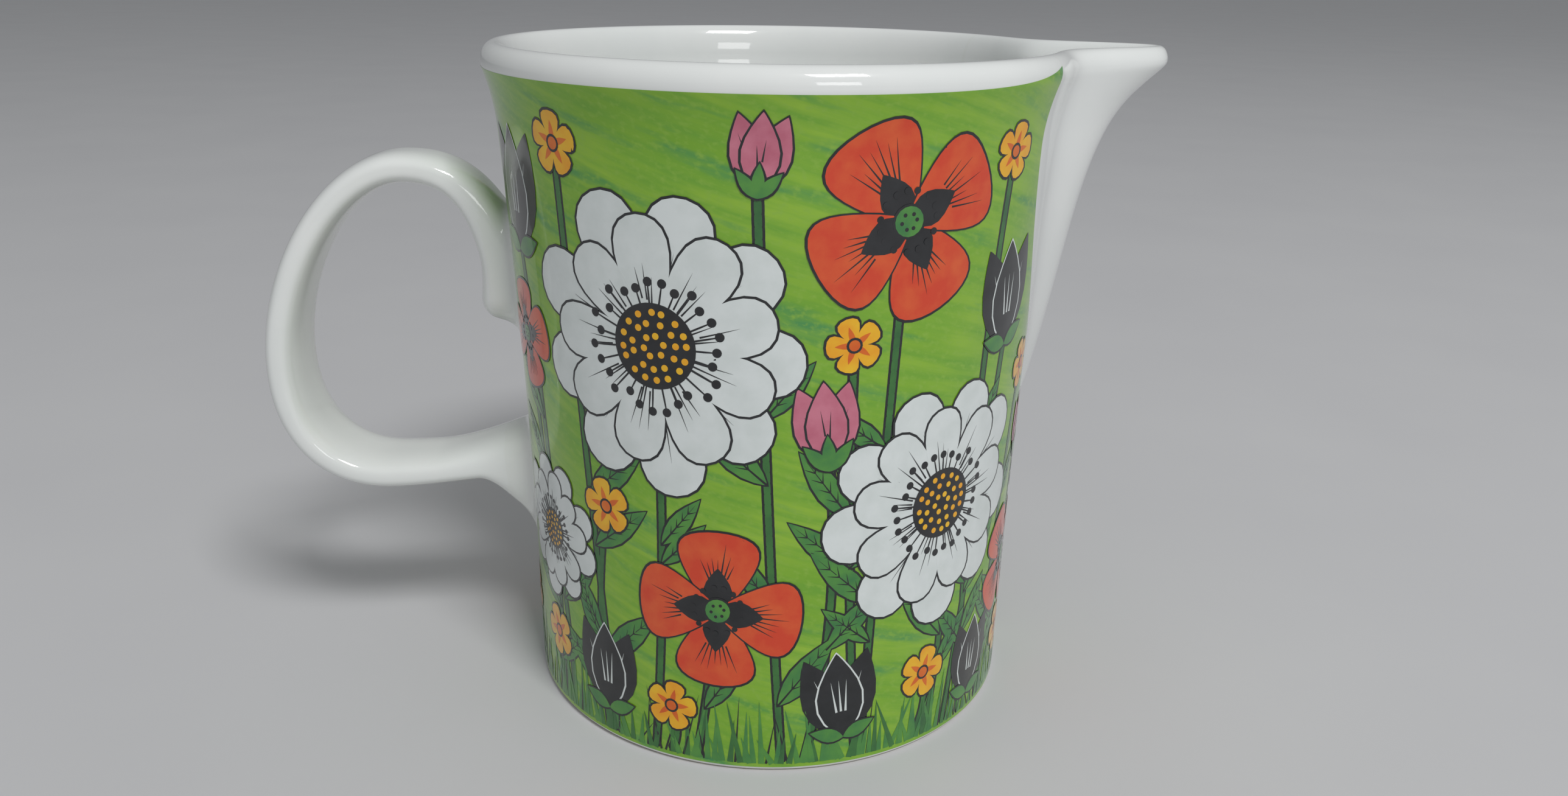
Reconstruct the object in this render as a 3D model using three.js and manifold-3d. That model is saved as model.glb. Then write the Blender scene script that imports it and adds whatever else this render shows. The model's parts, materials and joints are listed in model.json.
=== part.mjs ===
// A bone-china milk jug: a cast cup, a beak set into its wall, a strap handle, the slip that joins
// them and a printed transfer on each side. Millimetres, +Z up, the beak towards +X.

import * as THREE from "three";
import { mergeVertices } from "three/addons/utils/BufferGeometryUtils.js";
import Module from "manifold-3d";

const wasm = await Module();
wasm.setup();

// Cup: heights are from the table, radii are those of the outside
const rimHeight = 95;
const footRadius = 36.6;
const wallSpread = 3.05; // how much wider the wall is at the rim than at the foot, without the flare
const wallCurve = 2.2; // power by which the wall spreads with height
const lipFlare = 1.35; // how far the flare under the rim adds to that
const flareHeight = 9; // from where the flare begins to the widest point of the rim
const rimRoll = 2.4; // from the widest point of the rim up to its crest
const rimThickness = 3.8;
const wallThickness = 2.8;
const floorThickness = 3.6;
const floorCorner = 6; // radius between the floor and the inside of the wall
const footCorner = 1; // radius at the outer edge of the foot
const footRingWidth = 3; // flat of the foot ring
const footRecess = 1.4; // how far the underside lies above the foot ring

// Beak
const beakDepth = 55.5; // from the rim's crest down to the beak's lowest point
const beakWidth = 42; // across the opening in the wall, at the rim
const beakTaper = 0.85; // power by which the opening narrows towards its lowest point
const beakLand = 1; // how far the beak follows the wall inside the edge of the opening
const keelReach = 7.6; // how far the keel stands out of the wall at the rim, without the lip's throw
const keelCurve = 0.61;
const lipThrow = 7.3; // how much further the lip is thrown out at the rim
const lipCurve = 7.2; // power of that throw: a high one keeps it close under the rim
const keelSoftness = 1; // power of the keel's bell-shaped section at its lowest point
const lipPinch = 3; // the same at the rim, where the beak is pinched
const channelShare = 0.55; // width of the pouring channel at the rim as a share of the beak's

// Handle: distances out are from the wall to the strap's centre line, heights are from the table
const strapThickness = 4.4;
const strapWidth = 10.4;
const swellThickness = 0.6; // how much the strap thickens and widens between the crown and the lower joint
const swellWidth = 3.6;
const strapSquareness = 2.8; // power of the strap's section: 2 is an ellipse, more is squarer
const tailHeight = 54.8;
const tailOut = 2.1;
const tailRounding = 3; // length over which the tail's end is rounded
const tailBluntness = 0.5; // what is left of the strap's section at the very end
const tailBulge = 1.75; // how much thicker the tail's end is on its free side
const tailBulgeLength = 11; // length over which it thickens
const tailFlare = 3.2; // how much thicker the strap is on its upper side where it meets the wall
const crownHeight = 77.4;
const crownOut = 14.3;
const bowHeight = 47;
const bowOut = 35;
const bellyHeight = 31.4;
const bellyOut = 21;
const lowerJointHeight = 32.9;
const footFlareAbove = 4.9; // how far the strap's lower end flares upwards towards the wall
const footFlareCurve = 1.6; // power by which it does so
const footFlareLength = 17; // length over which it does so
const footFlareWidth = 1; // how far it flares to each side over that length
const heelDrop = 6.8; // how far it flares downwards
const heelLength = 11; // shorter length over which it does that

// How far the strap's centre line runs straight on before it bends, as a share of the way to its next point
const tailStraight = 0.75;
const shoulderStraight = 0.68;
const crownStraight = 0.475;
const bellyStraight = 0.62;
const armStraight = 0.34;

// Joints
const clearance = 0.15; // between the faces of neighbouring pieces
const seamThickness = 0.5; // slip between the faces that it joins
const seamBead = 0.6; // how far the slip shows around the handle's ends

// Printed transfers
const printThickness = 0.25;
const rimBand = 3.1; // bare band below the rim's crest
const footBand = 0.8; // bare line above the table
const printMargin = 0.5; // bare line around the beak and the handle's ends, past the slip
const printSplit = 1; // bare line between the two sheets

// Facets
const segments = 72; // around the axis
const crowding = 0.55; // how much closer the facets lie at the beak
const mergeDistance = 1e-4;
const wallRows = 4;
const beakRows = 12;
const rimRows = 8;
const ringRows = 10;
const cornerRows = 4;
const strapRows = 42;
const strapSides = 18;

const rimWidest = rimHeight - rimRoll;
const flareStart = rimWidest - flareHeight;
const beakFoot = rimHeight - beakDepth;
const floorHeight = footRecess + floorThickness;
const reachOfCuts = 2 * rimHeight; // longer than any piece that a cut goes through
const { clamp, lerp, smoothstep } = THREE.MathUtils;

const share = (value, from, to) => clamp((value - from) / (to - from), 0, 1);
const steps = (from, to, count) =>
  Array.from({ length: count + 1 }, (_, i) => lerp(from, to, i / count));

// Steps that lie closer together at both ends
const eased = (from, to, count) =>
  steps(0, Math.PI, count).map((turn) => lerp(from, to, (1 - Math.cos(turn)) / 2));
const beakHeights = eased(beakFoot, rimWidest, beakRows);

function wallRadius(height) {
  const spread = wallSpread * (height / rimWidest) ** wallCurve;
  const flare = lipFlare * share(height, flareStart, rimWidest) ** 2;
  return footRadius + spread + flare;
}

function innerRadius(height) {
  const extra = (rimThickness - wallThickness) * share(height, flareStart, rimWidest) ** 2;
  return wallRadius(height) - wallThickness - extra;
}

function beakHalfWidth(height) {
  const rise = share(height, beakFoot, rimWidest);
  return (beakWidth / 2) * Math.sin((Math.PI / 2) * rise ** beakTaper);
}

// How far the beak carries the wall outwards. depth is 0 on the outside of the wall and 1 on the inside.
function beakReach(angle, height, depth) {
  const rise = share(height, beakFoot, rimWidest);
  const narrowing = lerp(1, lerp(1, channelShare, rise ** 2), depth);
  const halfWidth = Math.max(0, beakHalfWidth(height) - beakLand) * narrowing;
  const halfAngle = Math.asin(halfWidth / wallRadius(Math.min(height, rimWidest)));
  if (Math.abs(angle) >= halfAngle) return 0;
  const keel = keelReach * rise ** keelCurve + lipThrow * rise ** lipCurve;
  const power = 2 * lerp(keelSoftness, lipPinch, rise ** 2);
  return keel * Math.cos(((Math.PI / 2) * angle) / halfAngle) ** power;
}

// A geometry as a solid that can be joined and cut.
function solid(geometry) {
  const bare = new THREE.BufferGeometry();
  bare.setAttribute("position", geometry.getAttribute("position"));
  bare.setIndex(geometry.index);
  const merged = mergeVertices(bare, mergeDistance);
  const corners = merged.index.array;
  const triangles = [];
  for (let i = 0; i < corners.length; i += 3) {
    const [a, b, c] = corners.slice(i, i + 3);
    if (a !== b && b !== c && c !== a) triangles.push(a, b, c);
  }
  const vertProperties = merged.getAttribute("position").array;
  return new wasm.Manifold(
    new wasm.Mesh({ numProp: 3, vertProperties, triVerts: new Uint32Array(triangles) }),
  );
}

// A profile turned about the axis. Points that give their depth in the wall follow the beak.
function turned(profile) {
  const outline = profile.map((point) => new THREE.Vector2(point.radius, point.height));
  const geometry = new THREE.LatheGeometry(outline, segments).rotateX(Math.PI / 2);
  const position = geometry.getAttribute("position");
  for (let index = 0; index < position.count; index++) {
    const { radius, height, depth } = profile[index % profile.length];
    const even = Math.atan2(position.getY(index), position.getX(index));
    const angle = even - crowding * Math.sin(even);
    const reach = radius + (depth === undefined ? 0 : beakReach(angle, height, depth));
    position.setXYZ(index, reach * Math.cos(angle), reach * Math.sin(angle), height);
  }
  return solid(geometry);
}

// An outline in Y and Z extruded outwards along X from the axis.
function extrudedOutwards(outline) {
  const settings = { depth: reachOfCuts, bevelEnabled: false };
  const geometry = new THREE.ExtrudeGeometry(new THREE.Shape(outline), settings);
  const axes = new THREE.Matrix4().makeBasis(
    new THREE.Vector3(0, 1, 0),
    new THREE.Vector3(0, 0, 1),
    new THREE.Vector3(1, 0, 0),
  );
  return solid(geometry.applyMatrix4(axes));
}

// A closed anticlockwise outline moved outwards by a distance, with mitred corners.
function widened(outline, distance) {
  return outline.map((point, i) => {
    const arriving = point.clone().sub(outline.at(i - 1)).normalize();
    const leaving = outline[(i + 1) % outline.length].clone().sub(point).normalize();
    const normal = new THREE.Vector2(arriving.y + leaving.y, -arriving.x - leaving.x).normalize();
    const mitre = distance / (normal.x * arriving.y - normal.y * arriving.x);
    return point.clone().addScaledVector(normal, mitre);
  });
}

// Cup and beak as one shell, before the beak is cut out of it.
function wholeShell() {
  const profile = [];
  const add = (radius, height, depth) => profile.push({ radius, height, depth });
  const ringOuter = footRadius - footCorner;
  const ringInner = ringOuter - footRingWidth;
  add(0, footRecess);
  add(ringInner - footRecess, footRecess);
  add(ringInner, 0);
  for (const turn of steps(-Math.PI / 2, 0, cornerRows)) {
    const height = footCorner * (1 + Math.sin(turn));
    add(wallRadius(height) - footCorner * (1 - Math.cos(turn)), height);
  }
  const heights = [
    ...steps(footCorner, beakFoot, wallRows).slice(1),
    ...beakHeights.slice(1),
  ];
  for (const height of heights) add(wallRadius(height), height, 0);
  const crestRadius = wallRadius(rimWidest) - rimThickness / 2;
  for (const turn of steps(0, Math.PI, rimRows).slice(1, -1)) {
    const radius = crestRadius + (rimThickness / 2) * Math.cos(turn);
    add(radius, rimWidest + rimRoll * Math.sin(turn), (1 - Math.cos(turn)) / 2);
  }
  const floorCurveTop = floorHeight + floorCorner;
  const inside = [
    ...beakHeights.toReversed(),
    ...steps(beakFoot, floorCurveTop, wallRows).slice(1),
  ];
  for (const height of inside) add(innerRadius(height), height, 1);
  for (const turn of steps(0, -Math.PI / 2, cornerRows).slice(1)) {
    const radius = innerRadius(floorCurveTop) - floorCorner * (1 - Math.cos(turn));
    add(radius, floorCurveTop + floorCorner * Math.sin(turn));
  }
  add(0, floorHeight);
  return turned(profile);
}

// The opening for the beak as an outline seen along X, open past the rim.
function beakOutline() {
  const side = beakHeights.slice(1);
  const right = side.map((height) => new THREE.Vector2(beakHalfWidth(height), height));
  right.push(new THREE.Vector2(beakWidth / 2, rimHeight + rimRoll));
  const left = right.map((point) => new THREE.Vector2(-point.x, point.y)).reverse();
  return [new THREE.Vector2(0, beakFoot), ...right, ...left];
}

// A ring that lies over the outside of the wall, between two heights.
function ringOnWall(from, to, gap, thickness) {
  const heights = eased(from, to, ringRows);
  const inner = heights.map((height) => ({ radius: wallRadius(height) + gap, height }));
  const outer = heights.map((height) => ({ radius: wallRadius(height) + gap + thickness, height }));
  const profile = [...inner, ...outer.reverse()];
  return turned([...profile, profile[0]].reverse());
}

// Everything within a distance of the outside of the wall, as one plug.
function plugOfWall(gap) {
  const heights = eased(0, rimWidest, ringRows);
  const side = heights.map((height) => ({ radius: wallRadius(height) + gap, height }));
  return turned([{ radius: 0, height: 0 }, ...side, { radius: 0, height: rimWidest }]);
}

// The strap's centre line, from the tail against the wall over the crown and the bow to the lower joint.
function strapLine() {
  const at = (out, height) => new THREE.Vector3(-wallRadius(height) - out, 0, height);
  const line = new THREE.CurvePath();
  const bend = (...points) => line.add(new THREE.CubicBezierCurve3(...points.map((point) => at(...point))));
  const tail = [tailOut, tailHeight];
  const crown = [crownOut, crownHeight];
  const bow = [bowOut, bowHeight];
  const belly = [bellyOut, bellyHeight];
  const joint = [-wallThickness, lowerJointHeight];
  const aboveTail = [tailOut, lerp(tailHeight, crownHeight, tailStraight)];
  const beforeCrown = [lerp(crownOut, tailOut, shoulderStraight), crownHeight];
  const afterCrown = [lerp(crownOut, bowOut, crownStraight), crownHeight];
  const aboveBow = [bowOut, lerp(bowHeight, crownHeight, crownStraight)];
  const belowBow = [bowOut, lerp(bowHeight, bellyHeight, bellyStraight)];
  const beforeBelly = [lerp(bellyOut, bowOut, bellyStraight), bellyHeight];
  const afterBelly = [lerp(bellyOut, 0, armStraight), bellyHeight];
  const beforeJoint = [lerp(0, bellyOut, armStraight), lowerJointHeight];
  bend(tail, aboveTail, beforeCrown, crown);
  bend(crown, afterCrown, aboveBow, bow);
  bend(bow, belowBow, beforeBelly, belly);
  bend(belly, afterBelly, beforeJoint, joint);
  return line;
}

// The strap as rounded sections along its line, thicker by extra all round.
function strap(extra) {
  const line = strapLine();
  const [toCrown, , , length] = line.getCurveLengths();
  const roundness = 2 / strapSquareness;
  const signedPower = (value) => Math.sign(value) * Math.abs(value) ** roundness;
  const positions = [];
  const addPoint = (point) => positions.push(point.x, point.y, point.z) / 3 - 1;
  const rings = eased(0, 1, strapRows).map((along) => {
    const centre = line.getPointAt(along);
    const tangent = line.getTangentAt(along);
    const normal = new THREE.Vector3(-tangent.z, 0, tangent.x);
    const place = along * length;
    const fromTail = share(place, 0, tailRounding);
    const rounding = lerp(tailBluntness, 1, Math.sqrt(1 - (1 - fromTail) ** 2));
    const shoulder = share(place, toCrown, toCrown * (1 - shoulderStraight)) ** 2;
    const foot = share(place, length - footFlareLength, length);
    const swell = Math.sin(Math.PI * share(place, toCrown, length));
    const thickness = (strapThickness + swellThickness * swell) / 2;
    const heel = smoothstep(place, length - heelLength, length - wallThickness);
    const bulge = tailBulge * (1 - smoothstep(place, 0, tailBulgeLength));
    const inside = thickness + bulge + footFlareAbove * foot ** footFlareCurve;
    const outside = thickness + tailFlare * shoulder + heelDrop * heel;
    const width = (strapWidth + swellWidth * swell) / 2 + footFlareWidth * foot ** 2;
    return steps(0, 2 * Math.PI, strapSides).slice(1).map((turn) => {
      const thick = (Math.cos(turn) > 0 ? inside : outside) * rounding + extra;
      const point = centre.clone().addScaledVector(normal, thick * signedPower(Math.cos(turn)));
      point.y += (width * rounding + extra) * signedPower(Math.sin(turn));
      return addPoint(point);
    });
  });
  const triangles = [];
  for (let row = 0; row < strapRows; row++) {
    for (let side = 0; side < strapSides; side++) {
      const next = (side + 1) % strapSides;
      const [a, b] = [rings[row][side], rings[row][next]];
      const [c, d] = [rings[row + 1][side], rings[row + 1][next]];
      triangles.push(a, d, b, a, c, d);
    }
  }
  const tailCentre = addPoint(line.getPointAt(0));
  const jointCentre = addPoint(line.getPointAt(1));
  for (let side = 0; side < strapSides; side++) {
    const next = (side + 1) % strapSides;
    triangles.push(tailCentre, rings[0][side], rings[0][next]);
    triangles.push(jointCentre, rings[strapRows][next], rings[strapRows][side]);
  }
  const geometry = new THREE.BufferGeometry();
  geometry.setAttribute("position", new THREE.Float32BufferAttribute(positions, 3));
  geometry.setIndex(triangles);
  return solid(geometry);
}

// Half of space on one side of the jug's middle plane, clear of it by half the split between the sheets.
function halfSpace(side) {
  const geometry = new THREE.BoxGeometry(reachOfCuts, reachOfCuts, reachOfCuts);
  return solid(geometry.translate(0, (side * (reachOfCuts + printSplit)) / 2, 0));
}

const china = new THREE.MeshStandardMaterial({ color: 0xf3f3ee, roughness: 0.12, metalness: 0 });
const slip = new THREE.MeshStandardMaterial({ color: 0xefeee8, roughness: 0.15, metalness: 0 });
const print = new THREE.MeshStandardMaterial({ color: 0x96b83c, roughness: 0.14, metalness: 0 });

const jug = new THREE.Group();

function addPiece(name, shape, material) {
  const { vertProperties, triVerts } = shape.getMesh();
  const geometry = new THREE.BufferGeometry();
  geometry.setAttribute("position", new THREE.BufferAttribute(vertProperties, 3));
  geometry.setIndex(new THREE.BufferAttribute(triVerts, 1));
  geometry.computeVertexNormals();
  const mesh = new THREE.Mesh(geometry, material);
  mesh.name = name;
  jug.add(mesh);
}

const shell = wholeShell();
const opening = beakOutline();
const openingCut = (distance) => extrudedOutwards(widened(opening, distance));
addPiece("jug_body", shell.subtract(openingCut(seamThickness / 2 + clearance)), china);
addPiece("spout", shell.intersect(openingCut(-seamThickness / 2 - clearance)), china);
const seamBand = openingCut(seamThickness / 2).subtract(openingCut(-seamThickness / 2));
addPiece("spout_seam", shell.intersect(seamBand), slip);

const jointStandOff = seamThickness + 2 * clearance;
addPiece("handle", strap(0).subtract(plugOfWall(jointStandOff)), china);
const beaded = strap(seamBead);
const upperRing = ringOnWall(bowHeight, crownHeight, clearance, seamThickness);
const lowerRing = ringOnWall(footCorner, bowHeight, clearance, seamThickness);
addPiece("handle_upper_seam", upperRing.intersect(beaded), slip);
addPiece("handle_lower_seam", lowerRing.intersect(beaded), slip);

const sheet = ringOnWall(footBand, rimHeight - rimBand, clearance, printThickness)
  .subtract(openingCut(seamThickness / 2 + printMargin))
  .subtract(strap(seamBead + printMargin));
addPiece("print_near", sheet.intersect(halfSpace(-1)), print);
addPiece("print_far", sheet.intersect(halfSpace(1)), print);

// The origin lies on the table, in the middle of the jug's length from handle to beak.
const extent = new THREE.Box3().setFromObject(jug);
jug.position.x = -(extent.min.x + extent.max.x) / 2;

export default jug;
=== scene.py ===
# The looks of a bone-china milk jug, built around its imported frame. Sizes are millimetres until a mesh
# is made, and metres from there on. +Z is up, the beak points to +X and the handle to -X.

import json
import math

import bmesh
import bpy
import numpy as np
from mathutils import Matrix, Vector

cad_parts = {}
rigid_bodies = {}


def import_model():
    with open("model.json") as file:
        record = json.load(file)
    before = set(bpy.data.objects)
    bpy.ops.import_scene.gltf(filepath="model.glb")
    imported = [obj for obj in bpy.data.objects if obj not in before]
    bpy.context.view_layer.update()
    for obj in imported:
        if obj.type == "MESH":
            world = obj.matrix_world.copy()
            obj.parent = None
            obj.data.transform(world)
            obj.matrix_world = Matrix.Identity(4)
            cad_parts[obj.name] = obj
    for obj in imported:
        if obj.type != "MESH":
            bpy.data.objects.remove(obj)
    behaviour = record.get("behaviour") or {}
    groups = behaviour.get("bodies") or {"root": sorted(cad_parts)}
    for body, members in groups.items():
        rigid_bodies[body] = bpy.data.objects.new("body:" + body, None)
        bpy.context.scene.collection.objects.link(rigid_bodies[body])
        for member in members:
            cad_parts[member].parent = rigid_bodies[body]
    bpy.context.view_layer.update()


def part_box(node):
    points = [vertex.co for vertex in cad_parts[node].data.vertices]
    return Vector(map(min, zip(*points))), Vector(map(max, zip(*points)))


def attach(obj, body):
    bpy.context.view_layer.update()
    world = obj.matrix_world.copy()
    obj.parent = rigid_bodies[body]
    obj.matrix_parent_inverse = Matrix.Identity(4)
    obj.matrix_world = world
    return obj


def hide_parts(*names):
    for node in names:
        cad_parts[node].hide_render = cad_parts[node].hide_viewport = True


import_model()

MM = 0.001

# Cup: heights are from the table, radii are those of the outside
RIM_HEIGHT = 95
FOOT_RADIUS = 36.6
WALL_SPREAD = 3.05
WALL_CURVE = 2.2
LIP_FLARE = 1.35
FLARE_HEIGHT = 9
RIM_ROLL = 2.4
RIM_SLOPE_INSIDE = 5  # from the rim's crest down to where the inside of the wall is straight
RIM_THICKNESS = 3.8
WALL_THICKNESS = 2.8
FLOOR_THICKNESS = 3.6
FLOOR_CORNER = 6
FOOT_CORNER = 1
FOOT_RING_WIDTH = 3
FOOT_RECESS = 1.4
RECESS_CORNER = 1.2
BARE_RING_HEIGHT = FOOT_CORNER / 3  # the foot ring has no glaze up to here
RIM_WIDEST = RIM_HEIGHT - RIM_ROLL
FLARE_START = RIM_WIDEST - FLARE_HEIGHT

# Beak
BEAK_DEPTH = 55.5
BEAK_WIDTH = 42
BEAK_TAPER = 0.85
BEAK_LAND = 1
KEEL_REACH = 7.6
KEEL_CURVE = 0.61
LIP_THROW = 7.3
LIP_CURVE = 7.2
KEEL_SOFTNESS = 1
LIP_PINCH = 3
LIP_THINNING = 0.2  # how much thinner the rim is at the tip of the beak, as a share
LIP_EASING = 5  # passes that ease the edge between the keel and the lip
LIP_EASING_SHARE = 0.5  # how far a pass moves the points at the tip towards their neighbours
EASED_WALL_ROWS = 4  # rows of points that are eased below the rim's roll, and on it
EASED_RIM_ROWS = 8
CHANNEL_START = 16  # height over which the channel inside the beak begins
CHANNEL_EASING = 8  # passes that ease the inside of the beak into the wall
SEAM_WIDTH = 0.5
SEAM_POINT = 1.4  # how much further the slip reaches at the beak's lowest point than at its sides
BEAK_FOOT = RIM_HEIGHT - BEAK_DEPTH

# Handle: distances out are from the wall to the strap's centre line
STRAP_THICKNESS = 4.4
STRAP_WIDTH = 10.4
SWELL_THICKNESS = 0.6
SWELL_WIDTH = 3.6
STRAP_SQUARENESS = 2.8
TAIL_HEIGHT = 54.8
TAIL_OUT = 2.1
TAIL_ROUNDING = 4.2
TAIL_BULGE = 1.4
TAIL_BULGE_LENGTH = 11
TAIL_FLARE = 3.2
CROWN_HEIGHT = 77.4
CROWN_OUT = 14.3
BOW_HEIGHT = 47
BOW_OUT = 35
BELLY_HEIGHT = 31.4
BELLY_OUT = 21
LOWER_JOINT_HEIGHT = 32.9
FOOT_FLARE_ABOVE = 4.9
FOOT_FLARE_CURVE = 1.6
FOOT_FLARE_LENGTH = 17
FOOT_FLARE_WIDTH = 1
HEEL_DROP = 6.8
HEEL_LENGTH = 11
TAIL_STRAIGHT = 0.75
SHOULDER_STRAIGHT = 0.68
CROWN_STRAIGHT = 0.475
BELLY_STRAIGHT = 0.62
ARM_STRAIGHT = 0.34
SLIP_FILLET = 1.6  # radius of the wiped slip between the strap and the wall
SLIP_DRIP = 2.2  # how much larger it is below the strap, where the slip runs down
SLIP_SKIN = 0.006  # how much the slip's edge stands over the strap
SLIP_SINK = 0.04  # how far the strap and its slip go into the wall
SLIP_BACK = SLIP_FILLET / 8  # how far the slip's underside lies inside the strap
SLIP_ROOT = SLIP_FILLET / 4  # faces of the strap deeper in the wall than this carry no slip
SLIP_EDGE = SLIP_FILLET / 5  # points of the strap closer to the wall than this mark the slip's outline

# Printed transfers
RIM_BAND = 3.1
FOOT_BAND = 0.8
PRINT_MARGIN = 0.5
PRINT_SPLIT = 1
PRINT_RISE = 1.8  # how far the sheet's upper edge climbs towards the beak
PRINT_RISE_LENGTH = 7.5
BEAK_MARGIN = 0.05  # bare line between the sheet and the beak's slip
RESERVE_SQUARENESS = 2.6  # power of the bare ovals around the handle's ends
PRINT_BACK = 0.008  # underside and top of the print above the wall
PRINT_TOP = 0.035
INK_STEP = 0.011  # each layer of ink lies this much above the one below it
INK_THICKNESS = INK_STEP * 2 / 3
INK_LEVELS = 16  # levels within a layer, so that marks of one ink that touch rarely share a plane
INK_LEVEL_SPREAD = 0.4  # how much of a layer those levels take up
INK_LINE = 0.32  # width of the drawn outlines
WALL_MEAN = 38  # radius at which lengths along the wall are measured
NEAR_SIDE = -1  # sign of Y on each side of the jug
FAR_SIDE = 1

# Wash and deeper shade of each ink, as they show on a screen
INK_COLOURS = {
    "white": ((223, 229, 228), (213, 220, 218)),
    "black": ((27, 28, 31), (40, 41, 44)),
    "red": ((214, 66, 34), (222, 92, 44)),
    "pink": ((206, 122, 142), (190, 100, 122)),
    "yellow": ((240, 188, 34), (238, 160, 24)),
    "orange": ((226, 118, 28), (214, 92, 24)),
    "leaf": ((84, 146, 62), (58, 122, 66)),
    "stem": ((62, 120, 56), (46, 98, 52)),
}

# Faces along and across each kind of mark
MARK_CELLS = {
    "petal": (10, 4),
    "small_petal": (6, 2),
    "broad_petal": (14, 7),
    "leaf": (9, 2),
    "broad_leaf": (10, 5),
    "stroke": (6, 1),
    "dash": (7, 1),
    "disc": (8, 2),
    "broad_disc": (20, 6),
}
KINDS = list(MARK_CELLS)

# Outlines of the marks: powers, and widths against a width of 1
PETAL_SWELL = 0.7
PETAL_BLUNTNESS = 5
PETAL_WIDEST = 0.78
LEAF_FULLNESS = 0.85
LEAF_FOOT = 1.2
LEAF_NARROWING = 0.5
STROKE_TAPER = 0.8
DASH_SQUARENESS = 6

# Flowers: sizes are shares of a flower's reach, a pair is a length and a width, and turns are radians
PETAL_LAYERS = 3  # a petal's outline, its filling and the veins on it
DOT_STRAY = 0.3  # share of the gap between dots
VEIN_FAN = 0.8
VEIN_STARTS = (0.3, 0.4)
VEIN_LENGTHS = (0.2, 0.42)
DAISY_PETALS = 9
DAISY_ROWS = ((1, 0), (0.8, 0.5))  # length of a row's petals, and its turn as a share of the gap between them
DAISY_STRAY = 0.04
DAISY_LENGTHS = (0.95, 1.03)
DAISY_PETAL = (1, 0.5)
DAISY_VEINS = (0.13, 3)  # spread and count, here and below
DAISY_STAMENS = 3 * DAISY_PETALS
DAISY_STAMEN_LENGTHS = (0.36, 0.46)
DAISY_ANTHER = 0.06
DAISY_EYE = 0.56
DAISY_SEED = 0.045
DAISY_SEED_RINGS = ((0.22, 16), (0.15, 11), (0.07, 6))  # radius and count
POPPY_PETALS = 4
POPPY_STRAY = 0.06
POPPY_PETAL = (1, 1.05)
POPPY_BLOTCH = (0.55, 0.36)
POPPY_VEINS = (0.42, 7)
POPPY_VEIN_FOOT = 0.1
POPPY_POD = 0.3
POPPY_DOT_RINGS = ((0.3, 15, 0.07), (0.08, 6, 0.04))  # radius, count and size
TULIP_STRAY = 0.12
TULIP_SPLAY = 0.34
TULIP_PETAL = (1, 0.5)
TULIP_MIDDLE = (0.96, 0.5)
TULIP_GLINT = (0.4, 0.35)  # start and length
TULIP_STREAK = (0.3, 0.36)  # start and length
TULIP_STREAK_TURNS = (-0.16, 0, 0.16)
TULIP_STREAK_FAN = 0.6
TULIP_SEPAL = (0.36, 0.16)
TULIP_SEPAL_SPLAY = math.pi - 1.9
BUD_STRAY = 0.2
BUD_SPLAY = 0.3
BUD_PETAL = (1, 0.5)
BUD_VEINS = (0.1, 2)
BUD_SEPAL = (0.45, 0.17)
BUD_SEPAL_SPLAY = 0.7
BUD_SEPAL_FOOT = 0.1
BUTTERCUP_PETALS = 5
BUTTERCUP_PETAL = (1, 0.86)
BUTTERCUP_THROAT = (0.7, 0.22)
BUTTERCUP_EYE = 0.4

# Leaves: sizes are shares of a leaf's length
LEAF_BLADE = (1, 0.3)
LEAF_RIB = 0.9
LEAF_VEIN = 0.14
LEAF_VEIN_SPLAY = 0.6
LEAF_VEIN_PLACES = (0.25, 0.7, 4)  # first, last and count

# Stalks, grass and drawn lines, in millimetres
STALK_WIDTH = 0.9
STALK_BEND = 4
STALK_STEP = 1.6
STALK_FEWEST_POINTS = 5
STALK_OVERLAP = 1.35  # length of a stalk's dash as a share of its step
STALK_FOOT = 1  # above the sheet's lower edge
STALK_STRAY = 4
STALK_GATHER = 0.9  # how much closer together the stalks' feet stand than the flowers
STALK_LEAF_GAP = 16
STALK_LEAF_PLACES = (0.1, 0.75)  # share of the stalk
STALK_LEAF_TURNS = (0.5, 0.95)
STALK_LEAF_LENGTHS = (9, 13)
GRASS_REACH = 57
GRASS_GAP = 0.75
GRASS_STRAY = 0.3
GRASS_FOOT = 0.6  # above the sheet's lower edge
GRASS_LEAN = 0.2
GRASS_LENGTHS = (4, 11)
GRASS_LAYERS = (2, 5)
GRASS_INKS = ["black", "stem", "leaf", "leaf"]
GRASS_WIDTHS = {"black": 0.35, "stem": 0.9, "leaf": 0.9}
FINE_LINE = 0.24
RIB_LINE = 0.3
LEAF_VEIN_LINE = 0.2
TULIP_LINE = 0.3
TULIP_STREAK_LINE = 0.34

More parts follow.
